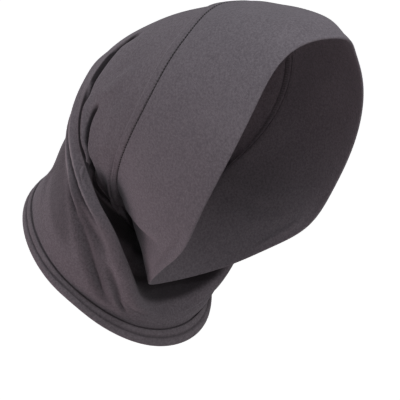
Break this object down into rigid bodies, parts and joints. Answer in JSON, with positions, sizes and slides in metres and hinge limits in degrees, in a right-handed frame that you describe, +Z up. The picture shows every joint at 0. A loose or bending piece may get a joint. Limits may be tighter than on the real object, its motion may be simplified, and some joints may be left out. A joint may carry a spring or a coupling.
{
  "type": "hijab underscarf cap",
  "caption": "Jersey tube underscarf: a wide double front band round the face, sewn to a loose tube that slouches behind the head and ends in an elastic hem.",
  "frame": {"origin": "under the crown of the cap, where it sits on the top of the head", "axes": "+Z up, face towards -Y, wearer's left towards +X"},
  "size_m": [0.1611, 0.2706, 0.2557],
  "materials": {
    "band_jersey": "matt fine jersey, two layers",
    "cut_edges": "overlocked jersey edge",
    "tube_jersey": "matt fine jersey, one layer",
    "hem_jersey": "matt fine jersey turned over elastic and stitched"
  },
  "bodies": {
    "root": {"front_band": "band_jersey", "seam_allowance": "cut_edges", "slouch_tube": "tube_jersey", "hem_casing": "hem_jersey"}
  },
  "joints": []
}
